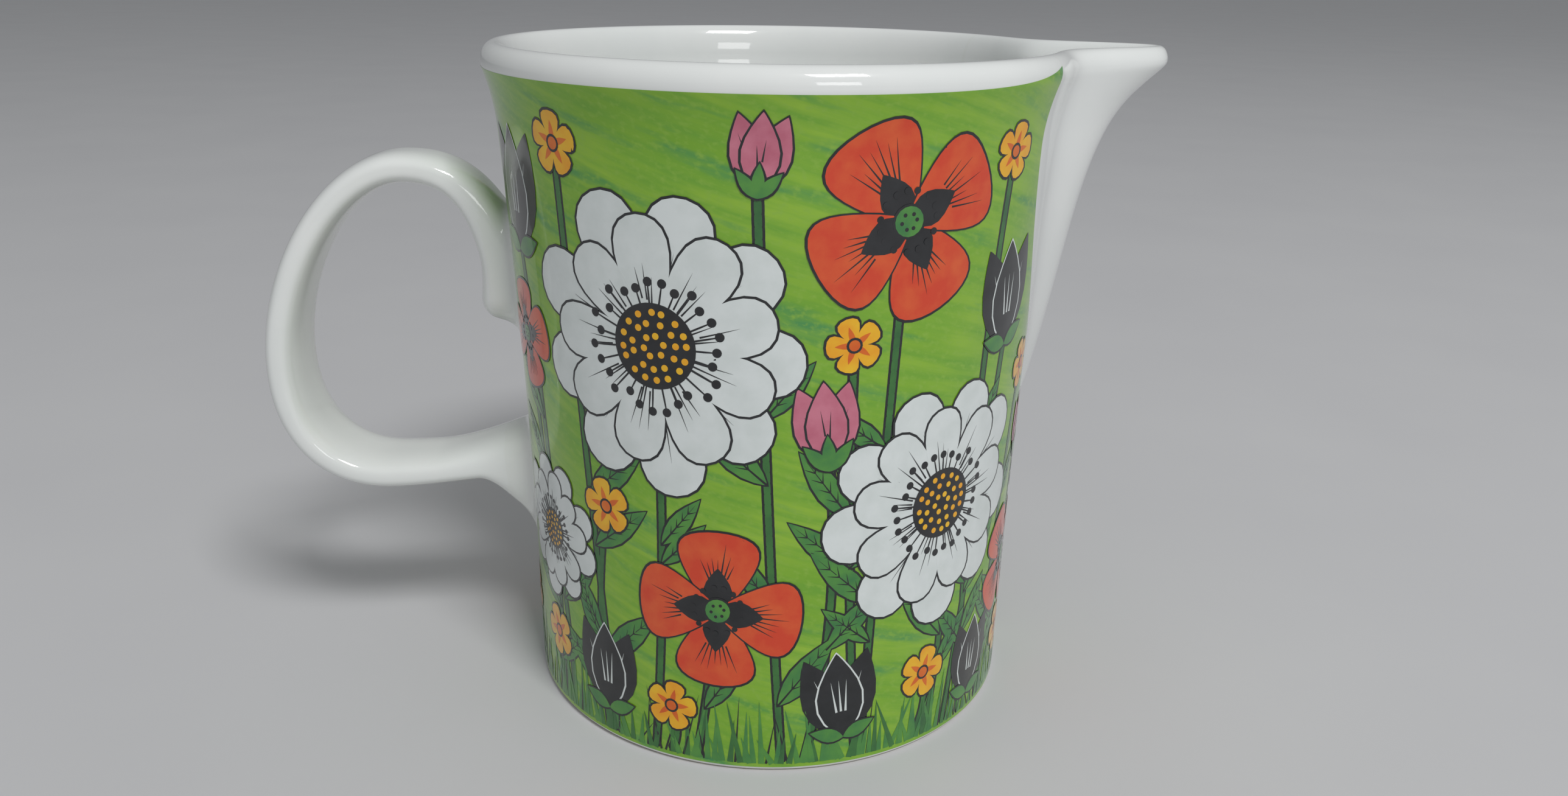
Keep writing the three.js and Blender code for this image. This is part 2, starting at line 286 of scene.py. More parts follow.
# Each flower's length along the flattened wall, towards the beak, its height and its reach
NEAR_FLOWERS = {
    "daisy": ((-17, 61, 20), (23, 38, 18), (-39.5, 29, 11)),
    "poppy": ((14, 77, 12.5), (-9, 25, 11.5), (-44, 57, 7.5), (45, 22, 9)),
    "tulip": ((-43, 69, 17), (34, 58, 15), (9, 5, 14), (-27, 5, 14), (33, 4, 13)),
    "bud": ((5.5, 46.5, 11), (-4, 81, 9), (47.5, 38, 9)),
    "buttercup": (
        (-31, 84.5, 4), (8, 62, 3.6), (-26, 37, 4), (30.5, 84, 3.6), (43, 53, 3.6), (-54, 13, 4),
        (-40, 12, 4), (-16, 9, 3.8), (22, 12, 4), (46, 9, 4), (54, 33, 3.4),
    ),
}
FAR_FLOWERS = {
    "daisy": ((-24, 38, 20), (17, 59, 18), (40, 25, 12)),
    "poppy": ((-9, 76, 12.5), (8, 27, 11.5), (-43, 62, 8.5), (-43, 17, 8)),
    "tulip": ((-31, 68, 15), (24, 5, 15), (-10, 4, 13), (-31, 3, 12)),
    "bud": ((31, 79, 9), (13, 80, 9), (46, 43, 9), (52, 8, 9)),
    "buttercup": (
        (-21, 86, 4), (-3.5, 51.5, 3.4), (38, 66, 3.6), (-50, 80, 4), (-50, 44, 3.8),
        (36, 44, 3.8), (8, 8, 4), (-20, 10, 4), (38, 8, 4), (-50, 8, 4),
    ),
}
FLOWER_LAYER = {"daisy": 8, "poppy": 5, "tulip": 5, "bud": 5, "buttercup": 5}
NEAR_SEED = 4
FAR_SEED = 9

# Glaze
COAT_ROUGHNESS = 0.03
BARE_SHINE = 0.5  # level of the surface's own reflection, bare and under a full coat of glaze
COATED_SHINE = 0.1

# Camera, room and table
CAMERA_DISTANCE = 177.1  # level distance from the cup's axis
CAMERA_HEIGHT = 106.25
CAMERA_PITCH = math.radians(20.009)
CAMERA_ROLL = math.radians(0.875)
JUG_TURN = math.radians(3)  # how far the beak is turned away from the camera
CAMERA_LENS = 27.93
SENSOR_WIDTH = 36
NEAREST_SEEN = 5
PHOTO_WIDTH = 2576
PHOTO_CENTRE_SHIFT = 19.26  # pixels between the lens axis and the middle of the picture
ROOM_COLOUR = (0.86, 0.88, 0.9, 1)
ROOM_STRENGTH = 0.34
TABLE_REACH = 8.0  # metres

# Facets
WALL_ROWS = 64
RIM_ROWS = 26
LOW_ROWS = 24
CORNER_ROWS = 8
CUP_COLUMNS = 256
BEAK_COLUMNS = 128
STRAP_ROWS = 260
STRAP_SIDES = 72
PRINT_ROWS = 34
PRINT_COLUMNS = 160
SHARP = math.radians(38)
MERGE_DISTANCE = 1e-7  # metres
SHORTEST_EDGE = 1e-8  # metres
TINY = 1e-9  # keeps what is divided by off zero


def share(value, start, end):
    """Where a value lies between start and end, from 0 to 1."""
    return np.clip((value - start) / (end - start), 0, 1)


def mix(start, end, part):
    return start + (end - start) * part


def smooth(part):
    return part * part * (3 - 2 * part)


def eased(start, end, count):
    """Steps from start to end that lie closer together at both."""
    return mix(start, end, (1 - np.cos(np.linspace(0, math.pi, count))) / 2)


def unit(vectors):
    """The directions of the vectors."""
    return vectors / np.maximum(np.linalg.norm(vectors, axis=-1, keepdims=True), TINY)


# Cup and beak


def wall_radius(height):
    spread = WALL_SPREAD * (height / RIM_WIDEST) ** WALL_CURVE
    return FOOT_RADIUS + spread + LIP_FLARE * share(height, FLARE_START, RIM_WIDEST) ** 2


def inner_radius(height):
    extra = (RIM_THICKNESS - WALL_THICKNESS) * share(height, FLARE_START, RIM_WIDEST) ** 2
    return wall_radius(height) - WALL_THICKNESS - extra


CUP_LOW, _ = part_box("jug_body")
AXIS = CUP_LOW.x / MM + wall_radius(RIM_WIDEST)


def on_jug(radius, angle, height):
    """Points of the frame, in millimetres, from places around the cup's axis."""
    return np.stack([AXIS + radius * np.cos(angle), radius * np.sin(angle), height + 0 * angle], -1)


def opening(height, grown):
    """Half the width of the beak's opening in the wall, grown outwards all round."""
    rise = share(height, BEAK_FOOT - SEAM_POINT * grown, RIM_WIDEST)
    return (BEAK_WIDTH / 2 + grown) * np.sin(math.pi / 2 * rise**BEAK_TAPER)


def beak_reach(angle, height):
    """How far the beak carries the wall outwards."""
    rise = share(height, BEAK_FOOT, RIM_WIDEST)
    half_width = np.maximum(TINY, opening(height, 0) - BEAK_LAND)
    half_angle = np.arcsin(half_width / wall_radius(np.minimum(height, RIM_WIDEST)))
    keel = KEEL_REACH * rise**KEEL_CURVE + LIP_THROW * rise**LIP_CURVE
    power = 2 * mix(KEEL_SOFTNESS, LIP_PINCH, rise**2)
    across = np.clip(angle / half_angle, -1, 1)
    return keel * np.cos(math.pi / 2 * across) ** power


def rim_roll():
    """Lean and height of the rim's roll where it starts on the outside, and its middle radius."""
    slope = wall_radius(RIM_WIDEST) - wall_radius(RIM_WIDEST - 1)
    lean = math.atan(slope * RIM_ROLL / (RIM_THICKNESS / 2))
    start = RIM_WIDEST - RIM_ROLL * math.sin(lean)
    return lean, start, wall_radius(start) - RIM_THICKNESS / 2 * math.cos(lean)


def upper_rows(foot):
    """Radius and height, up the outside of the wall from foot, over the rim and down the inside."""
    lean, start, middle = rim_roll()
    turn = np.linspace(-lean, math.pi, RIM_ROWS)[1:-1]
    rolled = np.where(turn < math.pi / 2, RIM_ROLL, RIM_SLOPE_INSIDE)
    outside = np.linspace(foot, start, WALL_ROWS)
    inside_top = RIM_HEIGHT - RIM_SLOPE_INSIDE
    inside = np.linspace(inside_top, foot, WALL_ROWS)
    drop = inner_radius(inside_top) - (middle - RIM_THICKNESS / 2)
    inner = inner_radius(inside) - drop * share(inside, BEAK_FOOT, inside_top) ** 2
    radius = [wall_radius(outside), middle + RIM_THICKNESS / 2 * np.cos(turn), inner]
    height = [outside, RIM_HEIGHT - rolled * (1 - np.sin(turn)), inside]
    return np.concatenate(radius), np.concatenate(height)


def skin_radius(height):
    """Radius of the outside of the wall and of the outer half of the rim's roll."""
    _, start, middle = rim_roll()
    turn = np.arcsin(np.clip((height - RIM_WIDEST) / RIM_ROLL, -1, 1))
    return np.where(height < start, wall_radius(height), middle + RIM_THICKNESS / 2 * np.cos(turn))


def arc(start, end, count):
    return np.linspace(math.radians(start), math.radians(end), count)


def outer_low_rows(top):
    """Radius and height from the middle of the underside round the foot ring and up the wall to top."""
    ring_outer = FOOT_RADIUS - FOOT_CORNER
    ring_inner = ring_outer - FOOT_RING_WIDTH
    recess = arc(90, 0, CORNER_ROWS)
    corner = arc(-90, 0, CORNER_ROWS)
    wall = np.linspace(FOOT_CORNER, top, LOW_ROWS)[1:-1]
    across = np.linspace(0, ring_inner - RECESS_CORNER, LOW_ROWS // 2)[:-1]
    radius = [
        across,
        ring_inner - RECESS_CORNER * (1 - np.cos(recess)),
        [ring_inner],
        wall_radius(FOOT_CORNER) - FOOT_CORNER * (1 - np.cos(corner)),
        wall_radius(wall),
    ]
    height = [
        0 * across + FOOT_RECESS,
        FOOT_RECESS - RECESS_CORNER * (1 - np.sin(recess)),
        [0],
        FOOT_CORNER * (1 + np.sin(corner)),
        wall,
    ]
    return np.concatenate(radius), np.concatenate(height)


def inner_low_rows(top):
    """Radius and height from top down the inside of the wall and over the floor to its middle."""
    floor = FOOT_RECESS + FLOOR_THICKNESS
    curve_top = floor + FLOOR_CORNER
    corner = arc(0, 90, CORNER_ROWS)
    wall = np.linspace(top, curve_top, LOW_ROWS)[1:-1]
    across = np.linspace(inner_radius(curve_top) - FLOOR_CORNER, 0, LOW_ROWS // 2)[1:]
    radius = [inner_radius(wall), inner_radius(curve_top) - FLOOR_CORNER * (1 - np.cos(corner)), across]
    height = [wall, curve_top - FLOOR_CORNER * np.sin(corner), 0 * across + floor]
    return np.concatenate(radius), np.concatenate(height)


def grid_faces(count, rows):
    """Numbers of a grid's points, and corners of the faces between its neighbouring columns."""
    index = np.arange(count * rows).reshape(count, rows)
    corners = [index[:-1, :-1], index[1:, :-1], index[1:, 1:], index[:-1, 1:]]
    return index, np.stack(corners, -1).reshape(-1, 4)


def lofted(columns, cuts=()):
    """Faces between neighbouring columns of points. A cut closes a column across the wall's thickness."""
    index, corners = grid_faces(*columns.shape[:2])
    faces = corners.tolist()
    for column, first, last in cuts:
        line = index[column, first:last].tolist()
        while len(line) > 3:
            faces.append([line[0], line[1], line[-2], line[-1]])
            line = line[1:-1]
        if len(line) == 3:
            faces.append(line)
    return columns.reshape(-1, 3), faces


def slab(top, bottom):
    """A closed thin plate between two equal grids of points."""
    index, corners = grid_faces(*top.shape[:2])
    count = index.size
    under = corners[:, ::-1] + count
    edge = [*index[:-1, 0], *index[-1, :-1], *index[:0:-1, -1], *index[0, :0:-1]]
    rim = [[start, start + count, end + count, end] for start, end in zip(edge, edge[1:] + edge[:1])]
    points = np.concatenate([top.reshape(-1, 3), bottom.reshape(-1, 3)])
    return points, corners.tolist() + under.tolist() + rim


def new_mesh(name, points, faces):
    """A mesh of points in metres."""
    mesh = bpy.data.meshes.new(name)
    mesh.from_pydata(np.asarray(points).tolist(), [], faces)
    return mesh


def shown(name, data):
    """An object of the scene with the given data."""
    made = bpy.data.objects.new(name, data)
    bpy.context.scene.collection.objects.link(made)
    return made


def piece(name, points, faces, *materials):
    """A closed mesh with outward faces, from points in millimetres."""
    return finished(name, new_mesh(name, np.asarray(points) * MM, faces), *materials)


def finished(name, mesh, *materials):
    """An object with the mesh, its doubles merged and its faces turned outwards."""
    shape = bmesh.new()
    shape.from_mesh(mesh)
    bmesh.ops.remove_doubles(shape, verts=shape.verts, dist=MERGE_DISTANCE)
    bmesh.ops.dissolve_degenerate(shape, edges=shape.edges, dist=SHORTEST_EDGE)
    bmesh.ops.recalc_face_normals(shape, faces=shape.faces)
    shape.to_mesh(mesh)
    shape.free()
    mesh.shade_smooth()
    mesh.set_sharp_from_angle(angle=SHARP)
    for material in materials:
        mesh.materials.append(material)
    return shown(name, mesh)


def fitted(made, slot, *nodes):
    """Sets a piece on the frame, in place of the nodes that it stands for."""
    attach(made, "root")
    if nodes:
        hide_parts(*nodes)


def make_cup(china, biscuit):
    foot = BEAK_FOOT - SEAM_POINT * SEAM_WIDTH / 2
    low_radius, low_height = outer_low_rows(foot)
    up_radius, up_height = upper_rows(foot)
    in_radius, in_height = inner_low_rows(foot)
    radius = np.concatenate([low_radius, up_radius, in_radius])
    height = np.concatenate([low_height, up_height, in_height])
    first, last = len(low_radius), len(low_radius) + len(up_radius)
    edge = 0 * radius
    edge[first:last] = np.arcsin(opening(up_height, SEAM_WIDTH / 2) / up_radius)
    around = np.linspace(0, 1, CUP_COLUMNS + 1)[:, None]
    columns = on_jug(radius, mix(edge, 2 * math.pi - edge, around), height)
    cup = piece("cup", *lofted(columns, [(0, first, last), (-1, first, last)]), china, biscuit)
    for face in cup.data.polygons:
        if face.center.z < BARE_RING_HEIGHT * MM:
            face.material_index = 1
    fitted(cup, "china", "jug_body")


def make_beak(china):
    radius, height = upper_rows(BEAK_FOOT + SEAM_POINT * SEAM_WIDTH / 2)
    edge = np.arcsin(opening(height, -SEAM_WIDTH / 2) / radius)
    angle = edge * np.linspace(-1, 1, BEAK_COLUMNS + 1)[:, None]
    reach = beak_reach(angle, height)
    inset = skin_radius(np.minimum(height, RIM_WIDEST)) - radius
    inside = slice(WALL_ROWS + RIM_ROWS - 2, None)
    nearing = share(height[inside], FLARE_START, height[inside][0]) ** 2
    inset[inside] = mix(inset[inside], RIM_THICKNESS, nearing)
    # The wall is as thick square to the beak's sides as elsewhere, so along the radius it is thicker there
    slant = np.gradient(reach, axis=0) / np.maximum(np.gradient(angle, axis=0), TINY) / (radius + reach)
    thicker = np.sqrt(1 + slant**2) - 1 - LIP_THINNING * reach / reach.max()
    carried = np.maximum(reach - inset * thicker, 0)
    carried[:, inside] *= smooth(share(height[inside], BEAK_FOOT, BEAK_FOOT + CHANNEL_START))
    columns = on_jug(radius + carried, angle, height)
    easing = LIP_EASING_SHARE * (reach.max(1) / reach.max())[:, None, None]
    near = np.arange(WALL_ROWS - EASED_WALL_ROWS, WALL_ROWS + EASED_RIM_ROWS)
    for _ in range(LIP_EASING):
        columns[:, near] = mix(columns[:, near], (columns[:, near - 1] + columns[:, near + 1]) / 2, easing)
    for _ in range(CHANNEL_EASING):
        channel = columns[:, inside]
        sides = (channel[:-2, 1:-1] + channel[2:, 1:-1] + channel[1:-1, :-2] + channel[1:-1, 2:]) / 4
        channel[1:-1, 1:-1] = sides
    beak = piece("beak", *lofted(columns, [(0, 0, None), (-1, 0, None)]), china)
    fitted(beak, "china", "spout")


def make_beak_slip(slip):
    lines = []
    for grown in (SEAM_WIDTH / 2, -SEAM_WIDTH / 2):
        radius, height = upper_rows(BEAK_FOOT - SEAM_POINT * grown)
        lines.append((radius, np.arcsin(opening(height, grown) / radius), height))
    points, faces = [], []
    for side in (-1, 1):
        columns = np.stack([on_jug(radius, side * angle, height) for radius, angle, height in lines])
        arm_points, arm_faces = lofted(columns, [(0, 0, None), (1, 0, None)])
        faces += [[corner + len(points) for corner in face] for face in arm_faces]
        points += arm_points.tolist()
    fitted(piece("beak_slip", points, faces, slip), "slip", "spout_seam")


# Handle


def bezier(points, count):
    """A smooth line from the first point to the last, drawn towards those in between."""
    along = np.linspace(0, 1, count)[:, None]
    power = len(points) - 1
    return sum(
        math.comb(power, order) * (1 - along) ** (power - order) * along**order * np.array(point)
        for order, point in enumerate(points)
    )


def strap_line():
    """The strap's centre line in X and Z from the cup's axis, its running length, and that to the crown."""
    tail = (TAIL_OUT, TAIL_HEIGHT)
    crown = (CROWN_OUT, CROWN_HEIGHT)
    bow = (BOW_OUT, BOW_HEIGHT)
    belly = (BELLY_OUT, BELLY_HEIGHT)
    joint = (0, LOWER_JOINT_HEIGHT)
    end = (-WALL_THICKNESS, LOWER_JOINT_HEIGHT)

    def rising(point, towards, straight):
        return (point[0], mix(point[1], towards[1], straight))

    def level(point, towards, straight):
        return (mix(point[0], towards[0], straight), point[1])

    bends = [
        [tail, rising(tail, crown, TAIL_STRAIGHT), level(crown, tail, SHOULDER_STRAIGHT), crown],
        [crown, level(crown, bow, CROWN_STRAIGHT), rising(bow, crown, CROWN_STRAIGHT), bow],
        [bow, rising(bow, belly, BELLY_STRAIGHT), level(belly, bow, BELLY_STRAIGHT), belly],
        [belly, level(belly, joint, ARM_STRAIGHT), level(joint, belly, ARM_STRAIGHT), end],
    ]
    placed = [[(-wall_radius(height) - out, height) for out, height in bend] for bend in bends]
    line = np.concatenate([*(bezier(bend, STRAP_ROWS)[:-1] for bend in placed), placed[-1][-1:]])
    steps = np.linalg.norm(np.diff(line, axis=0), axis=1)
    run = np.concatenate([[0], np.cumsum(steps)])
    return line, run, run[STRAP_ROWS - 1]


def strap(extra):
    """Rings around the strap, thicker by extra all round, and their centres, with the cup's axis at X 0."""
    line, run, to_crown = strap_line()
    length = run[-1]
    place = eased(0, length, STRAP_ROWS + 1)
    centre = np.stack([np.interp(place, run, line[:, 0]), 0 * place, np.interp(place, run, line[:, 1])], -1)
    ahead = unit(np.stack([np.interp(place, run, np.gradient(line[:, axis], run)) for axis in (0, 1)], -1))
    normal = np.stack([-ahead[:, 1], 0 * place, ahead[:, 0]], -1)
    rounding = np.sqrt(1 - (1 - share(place, 0, TAIL_ROUNDING)) ** 2)
    shoulder = share(place, to_crown, to_crown * (1 - SHOULDER_STRAIGHT)) ** 2
    foot = share(place, length - FOOT_FLARE_LENGTH, length)
    heel = smooth(share(place, length - HEEL_LENGTH, length - WALL_THICKNESS))
    swell = np.sin(math.pi * share(place, to_crown, length))
    thickness = (STRAP_THICKNESS + SWELL_THICKNESS * swell) / 2
    bulge = TAIL_BULGE * (1 - smooth(share(place, 0, TAIL_BULGE_LENGTH)))
    inside = (thickness + bulge + FOOT_FLARE_ABOVE * foot**FOOT_FLARE_CURVE) * rounding
    outside = (thickness + TAIL_FLARE * shoulder + HEEL_DROP * heel) * rounding
    width = ((STRAP_WIDTH + SWELL_WIDTH * swell) / 2 + FOOT_FLARE_WIDTH * foot**2) * rounding
    inside, outside, width = (np.maximum(size + extra, 0) for size in (inside, outside, width))
    turn = np.linspace(0, 2 * math.pi, STRAP_SIDES + 1)
    turn[-1] = 0

    def rounded(value):
        return np.sign(value) * np.abs(value) ** (2 / STRAP_SQUARENESS)

    thick = np.where(np.cos(turn) > 0, inside[:, None], outside[:, None]) * rounded(np.cos(turn))
    rings = centre[:, None] + thick[..., None] * normal[:, None]
    rings[..., 1] += width[:, None] * rounded(np.sin(turn))
    return rings, centre


def off_wall(points):
    """How far points lie outside the wall, with the cup's axis at X 0."""
    return np.hypot(points[..., 0], points[..., 1]) - wall_radius(points[..., 2])


def pressed(points):
    """Points set on the frame, those inside the wall moved out to just below its surface."""
    reach = np.hypot(points[..., 0], points[..., 1])
    factor = np.maximum(1, (wall_radius(points[..., 2]) - SLIP_SINK) / reach)
    placed = points * np.stack([factor, factor, 1 + 0 * factor], -1)
    return placed + np.array([AXIS, 0, 0])


def make_handle(china):
    rings, _ = strap(0)
    points, faces = lofted(pressed(rings))
    end = np.arange(STRAP_SIDES) + STRAP_ROWS * (STRAP_SIDES + 1)
    handle = piece("handle_strap", points, [*faces, end.tolist()], china)
    fitted(handle, "china", "handle")


def strap_normals(rings, centre):
    """Directions straight out of the strap at the points of its rings."""
    around = np.roll(rings[:, :-1], -1, axis=1) - np.roll(rings[:, :-1], 1, axis=1)
    normal = np.cross(around, np.gradient(rings, axis=0)[:, :-1])
    normal = np.concatenate([normal, normal[:, :1]], 1)
    if (normal * (rings - centre[:, None])).sum() < 0:
        normal = -normal
    normal[0] = normal[1].mean(0)
    return unit(normal)


def slip_rings():
    """The strap's rings, drawn out in a hollow curve to the wall, and the rings' height over the wall."""
    rings, centre = strap(0)
    over = off_wall(rings)
    normal = strap_normals(rings, centre)
    size = SLIP_FILLET + SLIP_DRIP * np.clip(-normal[..., 2], 0, 1) ** 2
    short = 1 - share(over, 0, size)
    fillet = size * (1 - np.sqrt(1 - short**2))
    from_axis = unit(rings * np.array([1, 1, 0]))
    along_wall = unit(normal - (normal * from_axis).sum(-1, keepdims=True) * from_axis)
    return rings + along_wall * fillet[..., None] + normal * SLIP_SKIN, over


def open_edges(faces):
    """Edges that only one of the faces has, in the direction of that face."""
    edges = {}
    for face in faces:
        for start, end in zip(face, face[1:] + face[:1]):
            if start == end:
                continue
            if (end, start) in edges:
                del edges[(end, start)]
            else:
                edges[(start, end)] = True
    return list(edges)


def make_handle_slip(name, node, slip, low, high):
    """The slip around one end of the strap: the faces close to the wall, over the strap's own ones."""
    wet, over = slip_rings()
    dry, _ = strap(-SLIP_BACK)
    index, corners = grid_faces(*over.shape)
    count = index.size
    height = over.reshape(-1)[corners]
    tall = wet[..., 2].reshape(-1)[corners].mean(1)
    near = (height.min(1) < SLIP_FILLET + SLIP_DRIP) & (height.max(1) > -SLIP_ROOT)
    # The last point of each ring is the first one again
    index[:, -1] = index[:, 0]
    chosen = index.reshape(-1)[corners[near & (tall > low) & (tall < high)]]
    faces = chosen.tolist() + (chosen[:, ::-1] + count).tolist()
    faces += [[end, start, start + count, end + count] for start, end in open_edges(chosen.tolist())]
    points = np.concatenate([pressed(wet).reshape(-1, 3), pressed(dry).reshape(-1, 3)])
    used = sorted({corner for face in faces for corner in face})
    renumbered = {corner: place for place, corner in enumerate(used)}
    faces = [[renumbered[corner] for corner in face] for face in faces]
    fitted(piece(name, points[used], faces, slip), "slip", node)


# Materials: sizes of the noise are millimetres


def rgb(red, green, blue):
    """A colour given as it shows on a screen, 0 to 255, as the shader's linear values."""
    seen = np.array([red, green, blue]) / 255
    linear = np.where(seen <= 0.04045, seen / 12.92, ((seen + 0.055) / 1.055) ** 2.4)
    return (*linear.tolist(), 1)


class Wiring:
    """A tree of nodes under construction."""

    def __init__(self, tree):
        self.tree = tree

    def feed(self, node, values):
        """Sets inputs of a node, by name or number, each to a value or a link from another node."""
        for label, value in values.items():
            if isinstance(value, bpy.types.NodeSocket):
                self.tree.links.new(value, node.inputs[label])
            else:
                node.inputs[label].default_value = value

    def add(self, kind, values, **settings):
        node = self.tree.nodes.new(kind)
        for label, value in settings.items():
            setattr(node, label, value)
        self.feed(node, values)
        return node.outputs


class Finish(Wiring):
    """A material under construction, with a surface that may be glazed."""

    def __init__(self, name, roughness, coat):
        self.material = bpy.data.materials.new(name)
        self.material.use_nodes = True
        super().__init__(self.material.node_tree)
        self.surface = self.tree.nodes["Principled BSDF"]
        shine = mix(BARE_SHINE, COATED_SHINE, coat)
        self.feed(self.surface, {"Roughness": roughness, "Specular IOR Level": shine})
        self.feed(self.surface, {"Coat Weight": coat, "Coat Roughness": COAT_ROUGHNESS})
        self.place = self.add("ShaderNodeTexCoord", {})["Object"]

    def noise(self, size, detail=3, stretch=1, turn=0.0, place=None):
        """Noise with blots about size millimetres across, drawn out lengthwise along a turned line."""
        drawn_out = {"Vector": place or self.place, "Scale": (stretch, 1, 1), "Rotation": (0, 0, turn)}
        spot = self.add("ShaderNodeMapping", drawn_out, vector_type="TEXTURE")["Vector"]
        grain = {"Vector": spot, "Scale": 1 / (size * MM), "Detail": detail}
        return self.add("ShaderNodeTexNoise", grain)["Fac"]

    def between(self, factor, low, high):
        """The factor stretched so that low becomes 0 and high becomes 1."""
        return self.add("ShaderNodeMapRange", {"Value": factor, "From Min": low, "From Max": high})["Result"]

    def blend(self, factor, first, second):
        # The node has sockets of one name for each type of data, so those for colours go by number
        return self.add("ShaderNodeMix", {0: factor, 6: first, 7: second}, data_type="RGBA")[2]

    def colour(self, output):
        self.feed(self.surface, {"Base Color": output})

    def ripple(self, factor, height):
        """A relief of the given height in millimetres."""
        relief = self.add("ShaderNodeBump", {"Strength": 1, "Distance": height * MM, "Height": factor})
        self.feed(self.surface, {"Normal": relief["Normal"]})


def china_finish(name, body, shade):
    """White china under a clear glaze that flows a little unevenly."""
    finish = Finish(name, roughness=0.2, coat=1)
    cloud = finish.between(finish.noise(size=18, detail=4), low=0.35, high=0.65)
    finish.colour(finish.blend(cloud, body, shade))
    finish.ripple(finish.noise(size=7, detail=2), height=0.02)
    return finish.material


def biscuit_finish():
    """The bare fired clay of the foot ring, rubbed a little darker in use."""
    finish = Finish("bare_foot_ring", roughness=0.75, coat=0)
    rubbed = finish.between(finish.noise(size=2.5, detail=5), low=0.4, high=0.7)
    finish.colour(finish.blend(rubbed, rgb(224, 218, 205), rgb(206, 199, 184)))
    finish.ripple(finish.noise(size=0.4, detail=3), height=0.03)
    return finish.material


def ground_finish():
    """Green ground laid on with a broad brush, in long slanting streaks."""
    finish = Finish("green_ground", roughness=0.35, coat=1)
    flat = finish.add("ShaderNodeUVMap", {}, uv_map="wall")["UV"]
    slant = math.radians(-17)

    def streaks(size, detail, stretch, low, high):
        return finish.between(finish.noise(size, detail, stretch, slant, flat), low, high)

    broad = streaks(size=11, detail=4, stretch=2.2, low=0.36, high=0.64)
    hairs = streaks(size=1.3, detail=4, stretch=11, low=0.38, high=0.72)
    strokes = streaks(size=3.4, detail=5, stretch=6, low=0.56, high=0.74)
    flecks = streaks(size=0.7, detail=2, stretch=1.5, low=0.5, high=0.8)
    base = finish.blend(broad, rgb(121, 172, 40), rgb(149, 190, 56))
    combed = finish.blend(hairs, base, rgb(110, 166, 46))
    brushed = finish.blend(strokes, combed, rgb(64, 142, 82))
    finish.colour(finish.blend(flecks, brushed, rgb(138, 181, 64)))
    return finish.material


def ink_finish(name, wash, deep):
    """A printed ink, a little uneven as a wash of colour is."""
    finish = Finish(name, roughness=0.35, coat=1)
    uneven = finish.between(finish.noise(size=3.2, detail=5), low=0.36, high=0.68)
    finish.colour(finish.blend(uneven, wash, deep))
    return finish.material


# Printed transfers


def handle_ends():
    """Lowest and highest point and half the width of the slip on the wall, at each end of the handle."""
    wet, over = slip_rings()
    at_wall = wet[np.abs(over) < SLIP_EDGE]
    ends = []
    for low, high in ((0, BOW_HEIGHT), (BOW_HEIGHT, RIM_HEIGHT)):
        end = at_wall[(at_wall[:, 2] > low) & (at_wall[:, 2] < high)]
        ends.append((end[:, 2].min() - PRINT_MARGIN, end[:, 2].max() + PRINT_MARGIN, np.abs(end[:, 1]).max()))
    return ends


def make_print(name, node, side, ground):
    """The green sheet on one side of the jug."""
    ends = handle_ends()
    stops = [FOOT_BAND, *ends[0][:2], *ends[1][:2], RIM_HEIGHT - RIM_BAND]
    parts = [eased(low, high, PRINT_ROWS)[:-1] for low, high in zip(stops, stops[1:])]
    height = np.concatenate([*parts, stops[-1:]])
    radius = wall_radius(height)
    front = np.maximum(opening(height, SEAM_WIDTH / 2 + BEAK_MARGIN), PRINT_SPLIT / 2)
    back = PRINT_SPLIT / 2 + 0 * height
    for low, high, half_width in ends:
        past = np.abs(2 * height - low - high) / (high - low)
        oval = np.clip(1 - past**RESERVE_SQUARENESS, 0, 1) ** (1 / RESERVE_SQUARENESS)
        back = np.maximum(back, (half_width + PRINT_MARGIN) * oval)
    across = np.linspace(0, 1, PRINT_COLUMNS)[:, None]
    angle = side * mix(np.arcsin(front / radius), math.pi - np.arcsin(back / radius), across)
    from_beak = across * math.pi * WALL_MEAN
    climb = PRINT_RISE * np.exp(-from_beak / PRINT_RISE_LENGTH)
    height = height + climb * share(height, FLARE_START, stops[-1]) ** 2
    skin = skin_radius(height)
    top, bottom = (on_jug(skin + lift, angle, height) for lift in (PRINT_TOP, PRINT_BACK))
    sheet = piece(name, *slab(top, bottom), ground)
    flat = sheet.data.uv_layers.new(name="wall")
    for corner in sheet.data.loops:
        x, y, z = sheet.data.vertices[corner.vertex_index].co / MM
        flat.data[corner.index].uv = (math.atan2(y, x - AXIS) * WALL_MEAN * MM, z * MM)
    fitted(sheet, "print", node)


# Printed meadow


def mark_width(kind, along):
    """Width of a mark of length and width 1, from its start to its end."""
    if "petal" in kind:
        return along**PETAL_SWELL * np.sqrt(1 - along**PETAL_BLUNTNESS) / PETAL_WIDEST
    if "leaf" in kind:
        return np.abs(np.sin(math.pi * along)) ** LEAF_FULLNESS * (LEAF_FOOT - LEAF_NARROWING * along)
    if kind == "stroke":
        return (1 - along) ** STROKE_TAPER
    if kind == "dash":
        return np.sqrt(1 - (2 * along - 1) ** DASH_SQUARENESS)
    return np.sqrt(np.maximum(0, 1 - (2 * along - 1) ** 2))


def make_marks():
    """A thin closed plate for each kind of mark, of length and width 1, lying along X."""
    marks = bpy.data.collections.new("marks")
    for order, (kind, (count, across)) in enumerate(MARK_CELLS.items()):
        along = eased(0, 1, count + 1)
        if "petal" in kind:
            along = np.sin(np.linspace(0, math.pi / 2, count + 1))
        side = np.linspace(-0.5, 0.5, across + 1)
        flat = np.stack(np.broadcast_arrays(along[:, None], mark_width(kind, along)[:, None] * side, 0.0), -1)
        raised = np.array([0, 0, INK_THICKNESS / 2 * MM])
        mesh = new_mesh(kind, *slab(flat + raised, flat - raised))
        marks.objects.link(bpy.data.objects.new(f"mark_{order}_{kind}", mesh))
    return marks


